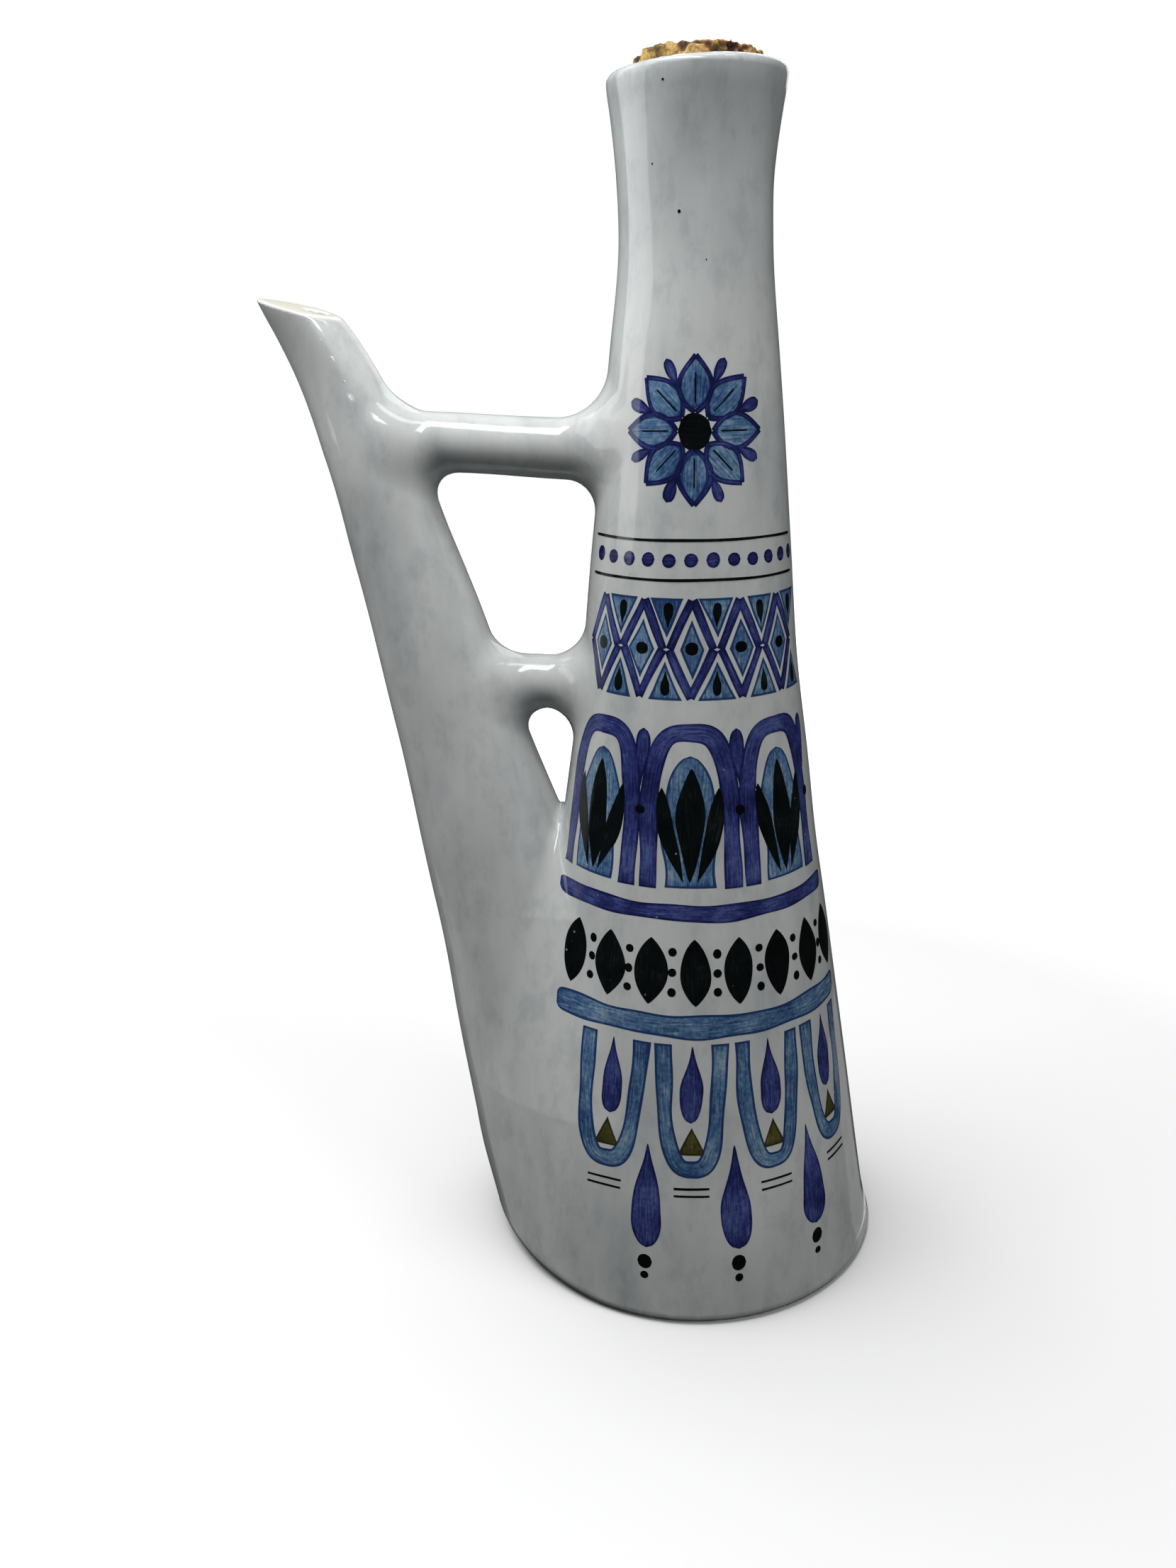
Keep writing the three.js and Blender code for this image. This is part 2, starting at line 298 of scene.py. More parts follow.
def outer_gap(x, y, z):
    """How far a point is outside the glazed outer surface; negative inside."""
    beak = cut_round(spout_gap(x, y, z), mouth_gap(x, y, z), EDGE_ROUND)
    gap = join_round(body_gap(x, y, z), beak, np.interp(z, CROTCH_HEIGHTS, CROTCH_FILLETS))
    for bar in BARS:
        own, fillet = bar_gap(bar, x, y, z)
        gap = join_round(gap, own, fillet)
    gap = gap - unevenness(x, y, z)
    curl = np.clip((z - LIP_CURL_FROM) / (LIP_HEIGHT - LIP_CURL_FROM), 0, 1.3) ** 2
    gap = gap + LIP_CURL * curl
    lip = z - LIP_HEIGHT - LIP_TILT_X * x - LIP_TILT_Y * y
    gap = cut_round(gap, lip, LIP_ROUND)
    toe = ease((-x - TOE_FROM) / TOE_GROWS_OVER)
    return cut_round(gap, -z, FOOT_ROUND + (TOE_ROUND - FOOT_ROUND) * toe)


def hollow_gap(x, y, z):
    """The same for the hollow inside: chamber, neck, seat of the cork, port, spout bore and pour hole."""
    cx, cy = body_centre(z)
    up = (z - SEAT_FOOT) / (LIP_HEIGHT - SEAT_FOOT)
    seat = SEAT_LOW_RADIUS + up * (SEAT_HIGH_RADIUS - SEAT_LOW_RADIUS)
    low = np.clip((z - SEAT_BLEND_FROM) / SEAT_BLEND_OVER, 0, 1)
    radius = (body_radius(z) - WALL) * (1 - low) + np.maximum(seat, SEAT_LOW_RADIUS) * low
    chamber = np.hypot(x - cx * (1 - low), y - cy) - radius
    spout = spout_gap(x, y, z)
    bore = cut_round(spout + WALL, mouth_gap(x, y, z) + POUR_LENGTH, BORE_END_ROUND)
    off, _, formed = spout_place(x, z)
    hole = np.maximum(np.hypot(off + POUR_SHIFT * formed, y) - POUR_RADIUS, POUR_FROM - z)
    bore = join_round(bore, hole, INNER_ROUND)
    bore = cut_round(bore, BORE_CLEAR - body_gap(x, y, z), BORE_SIDE_ROUND)
    port = np.maximum(np.abs(y) - PORT_WIDTH / 2, np.abs(z - PORT_CENTRE) - PORT_HEIGHT / 2)
    port = np.maximum(np.maximum(port, spout + WALL), x - PORT_REACH_X)
    gap = np.minimum(np.minimum(chamber, bore), port)
    return cut_round(gap, FLOOR - z, INNER_ROUND)


def clay_gap(x, y, z):
    """The fired clay: the outer surface less the hollow."""
    return cut_round(outer_gap(x, y, z), -hollow_gap(x, y, z), EDGE_ROUND)


def slopes(gap, points, step=0.04):
    """The gap at points and the direction in which it grows."""
    x, y, z = points.T
    grown = []
    for dx, dy, dz in ((step, 0, 0), (0, step, 0), (0, 0, step)):
        grown.append((gap(x + dx, y + dy, z + dz) - gap(x - dx, y - dy, z - dz)) / (2 * step))
    return gap(x, y, z), np.stack(grown, 1)


LEAST_SLOPE = 0.05
LONGEST_MOVE = 2.0


def settle(gap, points, level=0.0, rounds=3):
    """Moves points along the slope until the gap there is the level."""
    for _ in range(rounds):
        value, slope = slopes(gap, points)
        square = np.maximum((slope**2).sum(1), LEAST_SLOPE)
        move = ((value - level) / square)[:, None] * slope
        reach = np.maximum(np.linalg.norm(move, axis=1) / LONGEST_MOVE, 1)
        points = points - move / reach[:, None]
    return points


def skin(gap, low, high, step):
    """A quad mesh of the surface where the gap is zero, by surface nets."""
    axes = [np.arange(a, b + step, step) for a, b in zip(low, high)]
    field = gap(*np.meshgrid(*axes, indexing="ij"))
    inside = field < 0
    cells = np.array(field.shape) - 1
    place = np.zeros((*cells, 3))
    count = np.zeros(cells)
    for axis in range(3):
        others = [a for a in range(3) if a != axis]
        for d1 in (0, 1):
            for d2 in (0, 1):
                near = [None] * 3
                far = [None] * 3
                near[axis] = slice(0, -1)
                far[axis] = slice(1, None)
                for other, d in zip(others, (d1, d2)):
                    near[other] = far[other] = slice(d, d + cells[other])
                a = field[tuple(near)]
                b = field[tuple(far)]
                crossed = (a < 0) != (b < 0)
                count += crossed
                place[..., axis] += np.where(crossed, a / np.where(crossed, a - b, 1), 0)
                place[..., others[0]] += crossed * d1
                place[..., others[1]] += crossed * d2
    used = count > 0
    number = -np.ones(cells, int)
    number[used] = np.arange(used.sum())
    points = np.array(low) + step * (np.argwhere(used) + place[used] / count[used][:, None])
    faces = []
    for axis in range(3):
        others = ((axis + 1) % 3, (axis + 2) % 3)
        near = [slice(1, -1)] * 3
        far = [slice(1, -1)] * 3
        near[axis] = slice(0, -1)
        far[axis] = slice(1, None)
        a = inside[tuple(near)]
        edge = np.argwhere(a != inside[tuple(far)])
        if not len(edge):
            continue
        outward = a[tuple(edge.T)]
        edge[:, others[0]] += 1
        edge[:, others[1]] += 1
        corners = []
        for d1, d2 in ((1, 1), (0, 1), (0, 0), (1, 0)):
            cell = edge.copy()
            cell[:, others[0]] -= d1
            cell[:, others[1]] -= d2
            corners.append(number[tuple(cell.T)])
        quad = np.stack(corners, 1)
        quad[~outward] = quad[~outward][:, ::-1]
        faces.append(quad)
    return points, np.concatenate(faces)


def even_out(gap, points, faces, rounds=2):
    """Relaxes a skin along its surface, so that its faces are of like size."""
    points = settle(gap, points, rounds=1)
    edges = np.concatenate([faces[:, [0, 1]], faces[:, [1, 2]], faces[:, [2, 3]], faces[:, [3, 0]]])
    for _ in range(rounds):
        total = np.zeros_like(points)
        count = np.zeros(len(points))
        for a, b in ((0, 1), (1, 0)):
            np.add.at(total, edges[:, a], points[edges[:, b]])
            np.add.at(count, edges[:, a], 1)
        points = settle(gap, points + 0.5 * (total / count[:, None] - points), rounds=1)
    return settle(gap, points, rounds=1)


def new_object(name, points, faces):
    """A Blender object from points in millimetres."""
    mesh = bpy.data.meshes.new(name)
    mesh.from_pydata((np.asarray(points) * MM).tolist(), [], [list(map(int, f)) for f in faces])
    mesh.validate()
    mesh.update()
    obj = bpy.data.objects.new(name, mesh)
    bpy.context.scene.collection.objects.link(obj)
    return obj


def block(low, high):
    """A closed box in millimetres, as points and faces."""
    points = [(x, y, z) for x in (low[0], high[0]) for y in (low[1], high[1]) for z in (low[2], high[2])]
    faces = [(0, 1, 3, 2), (4, 6, 7, 5), (0, 4, 5, 1), (2, 3, 7, 6), (0, 2, 6, 4), (1, 5, 7, 3)]
    return np.array(points, float), faces


def lathe(heights, radii, centres, sides=180):
    """A closed turned solid, as points and faces."""
    turn = np.linspace(0, 2 * math.pi, sides, endpoint=False)
    points = []
    for z, r, (cx, cy) in zip(heights, radii, centres):
        points += [(cx + r * math.cos(t), cy + r * math.sin(t), z) for t in turn]
    faces = []
    for k in range(len(heights) - 1):
        for i in range(sides):
            j = (i + 1) % sides
            faces.append((k * sides + i, k * sides + j, (k + 1) * sides + j, (k + 1) * sides + i))
    faces.append(tuple(range(sides - 1, -1, -1)))
    faces.append(tuple(range((len(heights) - 1) * sides, len(heights) * sides)))
    return np.array(points), faces


def cut(source, tool, operation, name):
    """A new object: source cut by the tool's solid."""
    helper = new_object("cutter", *tool)
    result = source.copy()
    result.data = source.data.copy()
    bpy.context.scene.collection.objects.link(result)
    modifier = result.modifiers.new("cut", "BOOLEAN")
    modifier.operation = operation
    modifier.object = helper
    modifier.solver = "MANIFOLD"
    bpy.context.view_layer.update()
    ready = result.evaluated_get(bpy.context.evaluated_depsgraph_get())
    mesh = bpy.data.meshes.new_from_object(ready)
    if len(mesh.polygons) in (0, len(source.data.polygons)):
        modifier.solver = "EXACT"
        bpy.context.view_layer.update()
        ready = result.evaluated_get(bpy.context.evaluated_depsgraph_get())
        mesh = bpy.data.meshes.new_from_object(ready)
    result.modifiers.clear()
    result.data = mesh
    result.name = name
    mesh.name = name
    bpy.data.objects.remove(helper)
    return result


def smooth_normals(obj, gap):
    """Gives the surface its exact normals, and leaves the cut faces flat."""
    mesh = obj.data
    count = len(mesh.vertices)
    points = np.empty(count * 3)
    mesh.vertices.foreach_get("co", points)
    value, slope = slopes(gap, points.reshape(-1, 3) / MM)
    slope /= np.maximum(np.linalg.norm(slope, axis=1), 1e-6)[:, None]
    loops = np.empty(len(mesh.loops), int)
    mesh.loops.foreach_get("vertex_index", loops)
    sizes = np.empty(len(mesh.polygons), int)
    mesh.polygons.foreach_get("loop_total", sizes)
    flat = np.empty(len(mesh.polygons) * 3)
    mesh.polygons.foreach_get("normal", flat)
    flat = np.repeat(flat.reshape(-1, 3), sizes, axis=0)
    own = slope[loops]
    turned_away = (own * flat).sum(1) < 0.6
    off_surface = np.abs(value[loops]) > 0.3
    on_cut = turned_away | off_surface
    normals = np.where(on_cut[:, None], flat, own)
    mesh.polygons.foreach_set("use_smooth", np.ones(len(mesh.polygons), bool))
    mesh.normals_split_custom_set(normals.tolist())


# The shell, meshed once and once more finely at the beak, and cut where the clay was joined
COARSE_STEP = 1.5
FINE_STEP = 0.6
TURNED_SLACK = 0.5
TURNED_STEP = 5
BEAK_OVERLAP = 5
# Above the beak's joint the shell has nothing left of the first x, and the tip is what is left of the second
SHELL_CLEAR_X = -60
TIP_REACH_X = -70
# Boxes as low and high corners: first those that are meshed, then those that cut the clay's members
SHELL_BOX = ((-124, -70, -3), (70, 70, 364))
TIP_BOX = ((-134, -18, BEAK_JOINT - 8), (-68, 18, 312))
FOOT_BOX = ((-90, -80, -5), (80, 80, FLOOR))
NECK_BOX = ((-50, -60, NECK_JOINT), (60, 60, 380))
SPOUT_BOX = ((-140, -80, FLOOR), (0, 80, BEAK_JOINT))
BEAK_BOX = ((-140, -80, BEAK_JOINT), (-50, 80, 320))
HIGH_BOX = ((-140, -80, 228), (0, 80, NECK_JOINT))
UPPER_BAR_BOX = ((-76, -40, 235), (0, 40, NECK_JOINT))
LOWER_BAR_BOX = ((-58, -40, 168), (0, 40, 225))


def below_beak(x, y, z):
    """The clay without the beak."""
    return np.maximum(clay_gap(x, y, z), np.minimum(z - BEAK_JOINT - BEAK_OVERLAP, SHELL_CLEAR_X - x))


def beak_only(x, y, z):
    """The beak, with a little of the spout below it."""
    return np.maximum(clay_gap(x, y, z), np.maximum(BEAK_JOINT - BEAK_OVERLAP - z, x - TIP_REACH_X))


points, faces = skin(below_beak, *SHELL_BOX, COARSE_STEP)
shell = new_object("shell", even_out(below_beak, points, faces), faces)
points, faces = skin(beak_only, *TIP_BOX, FINE_STEP)
tip = new_object("tip", even_out(beak_only, points, faces), faces)

heights = np.concatenate([[FLOOR], np.arange(10, NECK_JOINT, TURNED_STEP), [NECK_JOINT]])
middles = [tuple(float(v) for v in body_centre(h)) for h in heights]
turned = lathe(heights, body_radius(heights) + TURNED_SLACK, middles)
upper_zone = block(*UPPER_BAR_BOX)
lower_zone = block(*LOWER_BAR_BOX)
clay = {}
clay["base_disc"] = cut(shell, block(*FOOT_BOX), "INTERSECT", "foot_slab")
clay["body_wall"] = cut(shell, turned, "INTERSECT", "turned_body")
clay["neck_collar"] = cut(shell, block(*NECK_BOX), "INTERSECT", "flared_neck")
beside = cut(shell, turned, "DIFFERENCE", "beside")
beside_spout = cut(beside, block(*SPOUT_BOX), "INTERSECT", "beside_spout")
beside_high = cut(beside, block(*HIGH_BOX), "INTERSECT", "high")
clay["upper_bridge"] = cut(beside_high, upper_zone, "INTERSECT", "upper_bar")
clay["lower_bridge"] = cut(beside_spout, lower_zone, "INTERSECT", "lower_bar")
without = cut(beside_spout, upper_zone, "DIFFERENCE", "without")
clay["spout_tube"] = cut(without, lower_zone, "DIFFERENCE", "spout_wall")
clay["spout_beak"] = cut(tip, block(*BEAK_BOX), "INTERSECT", "pouring_beak")
keep = set(clay.values())
for obj in list(bpy.data.objects):
    if obj.type == "MESH" and obj not in keep and obj.name not in frame["nodes"]:
        bpy.data.objects.remove(obj)

# The sloping cut of the beak is marked, because it has a colour of its own
points = np.empty(len(clay["spout_beak"].data.vertices) * 3)
clay["spout_beak"].data.vertices.foreach_get("co", points)
points = points.reshape(-1, 3).T / MM
from_cut = mouth_gap(*points)
bare = np.clip((from_cut + 0.45) / 0.35, 0, 1) * np.clip((1.6 - np.abs(from_cut)) / 0.5, 0, 1)
attribute = clay["spout_beak"].data.attributes.new("bare", "FLOAT", "POINT")
attribute.data.foreach_set("value", bare.astype(np.float32))
for node, obj in clay.items():
    smooth_normals(obj, clay_gap)
    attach(obj, "bottle")
    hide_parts(node)

# The cork: a cone with a broken top and pits
CORK_FOOT = 330.0
CORK_TOP = 365.0
CORK_FOOT_RADIUS = 16.4
CORK_TOP_RADIUS = 17.8
CORK_STEP = 0.55
PIT_COUNT = 150
PIT_DEPTH = 12
PITS_ON_SIDE = 0.55
CRUMB_COUNT = 10
CRUMB_SIZE = 0.16
CORK_ROUND = 0.8
CORK_BOX = ((-20, -20, 327), (20, 20, 368))
cork_pits = []
for _ in range(PIT_COUNT):
    turn = rng.uniform(0, 2 * math.pi)
    height = CORK_TOP - PIT_DEPTH * rng.random() ** 2
    reach = CORK_TOP_RADIUS * (1 if rng.random() < PITS_ON_SIDE else math.sqrt(rng.random()))
    size = rng.uniform(0.5, 1.9)
    if reach < CORK_TOP_RADIUS:
        height = CORK_TOP
    cork_pits.append((reach * math.cos(turn), reach * math.sin(turn), height, size, rng.uniform(0.5, 1.6)))
# Chips out of the cork's top edge: centre and radius
RIM_CHIPS = (
    (-17.5, -6.0, 365.5, 4.6), (-14.0, -12.5, 367.3, 4.0), (-5.5, -17.8, 367.2, 2.6),
    (2.4, -18.4, 365.6, 1.5), (17.6, -7.5, 367.6, 4.4), (17.0, 5.0, 367.0, 4.0),
    (3.0, 17.5, 367.0, 3.6), (-12.0, 13.5, 367.4, 4.2),
)
crumbs = [(rng.normal(size=3) * 1.15, rng.uniform(0, 6.28)) for _ in range(CRUMB_COUNT)]


def cork_solid(x, y, z):
    """The cork before its pits and chips, with crumbly sides and top."""
    up = (z - CORK_FOOT) / (CORK_TOP - CORK_FOOT)
    radius = CORK_FOOT_RADIUS + up * (CORK_TOP_RADIUS - CORK_FOOT_RADIUS)
    ragged = 0
    for way, phase in crumbs:
        ragged = ragged + CRUMB_SIZE * np.sin(way[0] * x + way[1] * y + way[2] * z + phase)
    near_top = np.clip((z - 350) / 10, 0.2, 1)
    side = np.hypot(x, y) - radius + 0.12 + 0.35 * np.maximum(ragged, -0.2) * near_top
    top = z - CORK_TOP + 0.55 + 1.1 * np.abs(ragged)
    return cut_round(cut_round(side, top, CORK_ROUND), CORK_FOOT + 0.2 - z, CORK_ROUND)


def cork_gap(x, y, z):
    gap = cork_solid(x, y, z)
    for px, py, pz, size, tall in cork_pits:
        gap = cut_round(gap, size - np.sqrt((x - px) ** 2 + (y - py) ** 2 + ((z - pz) / tall) ** 2), 0.25)
    for px, py, pz, size in RIM_CHIPS:
        gap = cut_round(gap, size - np.sqrt((x - px) ** 2 + (y - py) ** 2 + (z - pz) ** 2), 0.3)
    return gap


points, faces = skin(cork_gap, *CORK_BOX, CORK_STEP)
points = settle(cork_gap, points, rounds=2)
cork = new_object("cork_ragged", points, faces)
depth = np.clip(-cork_solid(*points.T) / 1.3, 0, 1)
attribute = cork.data.attributes.new("pit", "FLOAT", "POINT")
attribute.data.foreach_set("value", depth.astype(np.float32))
cork.data.polygons.foreach_set("use_smooth", np.ones(len(cork.data.polygons), bool))
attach(cork, "cork")
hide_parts("cork_stopper")

# Painted decoration: brush strokes laid out by azimuth from the front and by height, set on the glaze
LIFT = {"light_blue": 0.05, "olive": 0.065, "cobalt": 0.08, "black": 0.105}
EDGE_LIFT = 0.03
UNDER = -0.3
STROKE_STEP = 0.8
COLUMN_STEP = 1.0
MOST_COLUMNS = 25
THINNEST = 0.16
# How far apart strokes lie in the bristle pattern, and how strokes of one colour are stacked
BRISTLE_SHIFT = 13.0
LAYER_STEP = 0.0012
LAYERS = 12
LEFT_LIMITS = ((10, 60, 100, 140, 160, 200, 300), (-44, -47, -54, -68, -72, -66, -72))
RIGHT_LIMIT = 74.0
paint = {colour: [] for colour in LIFT}


def left_limit(z):
    return float(np.interp(z, *LEFT_LIMITS))


def brush(colour, azimuth, height, path, width, tone=0.5):
    """One stroke: a path in millimetres beside (azimuth in degrees, height), with a width along it."""
    path = np.array(path, float)
    steps = np.hypot(*np.diff(path, axis=0).T)
    run = np.concatenate([[0], np.cumsum(steps)])
    count = max(int(run[-1] / STROKE_STEP) + 1, 13 if callable(width) else 5)
    t = np.linspace(0, 1, count)
    centre = np.stack([np.interp(t * run[-1], run, path[:, k]) for k in (0, 1)], 1)
    ahead = np.gradient(centre, axis=0)
    ahead /= np.maximum(np.hypot(*ahead.T), 1e-6)[:, None]
    aside = np.stack([-ahead[:, 1], ahead[:, 0]], 1)
    size = width(t) if callable(width) else np.full(count, float(width))
    phase = rng.uniform(0, 6.28, 6)
    sway = np.sin(t * run[-1] / 7.0 + phase[0]) + 0.6 * np.sin(t * run[-1] / 3.1 + phase[1])
    size = np.maximum(size * (1 + 0.08 * sway), THINNEST)
    drift = 0.22 * (np.sin(t * run[-1] / 11.0 + phase[2]) + 0.7 * np.sin(t * run[-1] / 4.3 + phase[3]))
    fewest = 9 if callable(width) else 5
    columns = int(np.clip(math.ceil(size.max() / COLUMN_STEP) + 1, fewest, MOST_COLUMNS))
    across = np.linspace(-1, 1, columns)
    offset = across[None] * size[:, None] / 2 + drift[:, None] * min(1, size.max() / 3)
    u = centre[:, None, 0] + aside[:, None, 0] * offset
    w = centre[:, None, 1] + aside[:, None, 1] * offset
    z = height + w
    turn = np.radians(azimuth) + u / body_radius(z)
    along = np.sin(t * run[-1] / 9.0 + phase[4]) * 0.05 + np.sin(t * run[-1] / 2.7 + phase[5]) * 0.03
    ends = np.minimum(t, 1 - t) * run[-1]
    pooled = 0.2 * np.exp(-((ends / 1.8) ** 2))[:, None] * (1 - 0.5 * across[None] ** 2)
    shade = tone + along[:, None] + pooled
    rim = np.minimum(size[:, None] / 2 * (1 - np.abs(across[None])), ends[:, None] + 0.1)
    far = np.broadcast_to(t[:, None] * run[-1], z.shape)
    own = np.full(z.shape, BRISTLE_SHIFT * len(paint[colour]))
    paint[colour].append((turn, z, shade, rim, far, offset, own))


def lens(width, lean=1.0):
    """Width of a leaf-like stroke, widest before or after its middle."""
    return lambda t: width * np.sin(math.pi * t**lean) ** 0.8


def drop(width):
    """Width of a drop: a point that grows to a round end."""
    widest = 0.72

    def at(t):
        off = (t - widest) / np.where(t < widest, widest, 0.28)
        return width * np.sqrt(np.clip(1 - off**2, 0, 1)) * (0.25 + 0.75 * ease(t / 0.6))

    return at


def disc(radius):
    """Width of a round dot."""
    return lambda t: 2 * radius * np.sqrt(np.clip(1 - (2 * t - 1) ** 2, 0, 1))


def dot(colour, azimuth, height, radius, at=(0, 0), tone=0.6):
    path = [(at[0] - radius, at[1]), (at[0] + radius, at[1])]
    brush(colour, azimuth, height, path, disc(radius), tone)


def ring_stroke(colour, height, width, tone=0.5):
    """A stroke round the front at one height."""
    start = left_limit(height)
    half = math.radians(RIGHT_LIMIT - start) / 2 * float(body_radius(height))
    brush(colour, (start + RIGHT_LIMIT) / 2, height, [(-half, 0), (half, 0)],
          lambda t: width * (1 - 0.5 * np.exp(-np.minimum(t, 1 - t) * 120)), tone)


def rosette(azimuth, height, size):
    """An eight-petalled flower with drops between the petals."""
    for k in range(8):
        way = np.array((math.sin(k * math.pi / 4), math.cos(k * math.pi / 4)))
        side = np.array((way[1], -way[0]))
        brush("light_blue", azimuth, height, [way * 0.30 * size, way * size], lens(0.46 * size, 0.85), 0.45)
        for hand in (-1, 1):
            edge = [way * (0.26 + 0.76 * t) * size + side * hand * 0.24 * size * math.sin(math.pi * t**0.85)
                    for t in np.linspace(0, 1, 14)]
            brush("cobalt", azimuth, height, edge, 1.5, 0.5)
        brush("black", azimuth, height, [way * 0.36 * size, way * 0.80 * size], 0.55, 0.5)
        between = np.array((math.sin((k + 0.5) * math.pi / 4), math.cos((k + 0.5) * math.pi / 4)))
        outward = [between * 0.62 * size, between * 1.06 * size]
        brush("cobalt", azimuth, height, outward, drop(0.17 * size), 0.5)
    dot("black", azimuth, height, 0.24 * size)


def lozenge(azimuth, height, wide, tall):
    """A lozenge outline with a filled middle and a dot."""
    corners = [(0, tall), (wide, 0), (0, -tall), (-wide, 0)]
    for a, b in zip(corners, corners[1:] + corners[:1]):
        brush("cobalt", azimuth, height, [np.array(a) * 1.03, np.array(b) * 1.03], 2.6, 0.5)
    brush("light_blue", azimuth, height, [(0, -0.62 * tall), (0, 0.62 * tall)],
          lambda t: 1.24 * wide * (1 - np.abs(2 * t - 1)), 0.5)
    dot("black", azimuth, height, 2.0)


def fan_arch(azimuth, height, wide, tall):
    """A thick arch over a washed ground, with three leaves on it."""
    t = np.linspace(0, math.pi, 40)
    arch = np.stack([-wide * np.sign(np.cos(t)) * np.abs(np.cos(t)) ** 0.55, tall * np.sin(t) ** 0.75], 1)
    brush("cobalt", azimuth, height, arch, 5.6, 0.5)
    brush("light_blue", azimuth, height, [(0, 0.5), (0, tall - 6.5)],
          lambda s: 2 * (wide - 4.6) * np.sqrt(np.clip(1 - s**3.2, 0, 1)), 0.46)
    brush("black", azimuth, height, [(0, 2), (0, tall - 10)], lens(8.6, 1.1), 0.6)
    for hand in (-1, 1):
        leaf = [(hand * (2.2 + 6.2 * math.sin(1.5 * s)), 2.0 + (tall - 18) * s)
                for s in np.linspace(0, 1, 16)]
        brush("black", azimuth, height, leaf, lens(5.6, 1.2), 0.6)


def swag(azimuth, height, wide, tall):
    """A hanging washed loop with a drop and a triangle inside it and two short lines below."""
    t = np.linspace(0, math.pi, 40)
    loop = np.stack([-wide * np.sign(np.cos(t)) * np.abs(np.cos(t)) ** 0.6, -tall * np.sin(t) ** 0.8], 1)
    brush("light_blue", azimuth, height, loop, 5.2, 0.52)
    brush("cobalt", azimuth, height, [(0, -0.5), (0, 14.5 - tall)], drop(7.4), 0.5)
    brush("olive", azimuth, height, [(0, 4.4 - tall), (0, 13.0 - tall)], lambda s: 8.6 * (1 - s), 0.6)
    for down in (6.2, 8.6):
        brush("black", azimuth, height, [(-5.5, -tall - down), (5.5, -tall - down)], 0.7, 0.6)


def pendant(azimuth, height, long):
    """A long drop with a black bead under it."""
    brush("cobalt", azimuth, height, [(0, 0), (0, -long)], drop(10.0), 0.5)
    dot("black", azimuth, height, 2.3, (0, -long - 4.4))
    dot("black", azimuth, height, 1.3, (0, -long - 9.4))


# The layout: each band's height in millimetres, and places round the front in degrees
DESIGN_MIDDLE = 1.0
FLOWER_HEIGHT = 267
BEAD_HEIGHT = 232
BEAD_LINES = (237.5, 226.5)
LOZENGE_HEIGHT = 207
ARCH_FOOT = 137
ARCH_LINE = 130
LEAF_HEIGHT = 112
SWAG_LINE = 95.5
SWAG_HEIGHT = 90
PENDANT_HEIGHT = 58
BEAD_STEP = 12.0
LEAF_STEP = 17.0
rosette(DESIGN_MIDDLE, FLOWER_HEIGHT, 19.5)
for z in BEAD_LINES:
    ring_stroke("black", z, 0.8, 0.6)
for place in np.arange(-60, RIGHT_LIMIT, BEAD_STEP):
    dot("cobalt", place, BEAD_HEIGHT, 2.0)
for place, z, size in ((-12, 323, 0.42), (-31, 335, 0.22), (-21, 354, 0.3), (7, 311, 0.2)):
    dot("black", place, z, size)
for place in (-52, -26, 0, 26, 52):
    lozenge(place + DESIGN_MIDDLE, LOZENGE_HEIGHT, 6.2, 13.5)
for place in (-39, -13, 13, 39, 65):
    for up in (-1, 1):
        middle = place + DESIGN_MIDDLE
        brush("light_blue", middle, LOZENGE_HEIGHT, [(0, up * 3.5), (0, up * 14.5)], lambda t: 10.5 * t, 0.5)
        brush("black", middle, LOZENGE_HEIGHT, [(0, up * 6), (0, up * 13.4)], drop(3.0), 0.6)
for place in (-45, 0, 45):
    fan_arch(place + DESIGN_MIDDLE, ARCH_FOOT, 13.0, 46.0)
for place in (-22.5, 22.5, 67.0):
    brush("cobalt", place + DESIGN_MIDDLE, ARCH_FOOT, [(0, 30), (0, 47)], drop(4.6), 0.5)
    dot("black", place + DESIGN_MIDDLE, ARCH_FOOT, 1.7, (0, 23))
ring_stroke("cobalt", ARCH_LINE, 5.0, 0.5)
for place in np.arange(-48, RIGHT_LIMIT, LEAF_STEP):
    brush("black", place, LEAF_HEIGHT, [(0, -10.2), (0, 10.2)], lens(10.2), 0.6)
for place in np.arange(-39.5, RIGHT_LIMIT, LEAF_STEP):
    for up in (-6, 0, 6):
        dot("black", place, LEAF_HEIGHT, 1.3, (0, up))
ring_stroke("light_blue", SWAG_LINE, 7.0, 0.5)
for place in (-27, 1, 29, 57):
    swag(place + DESIGN_MIDDLE, SWAG_HEIGHT, 8.7, 39.0)
for place in (-13, 15, 43):
    pendant(place + DESIGN_MIDDLE, PENDANT_HEIGHT, 33.0)


def closed(grid):
    """A grid with its last and first columns once more, for the underside."""
    return np.concatenate([grid, grid[:, -1:], grid[:, :1]], 1)


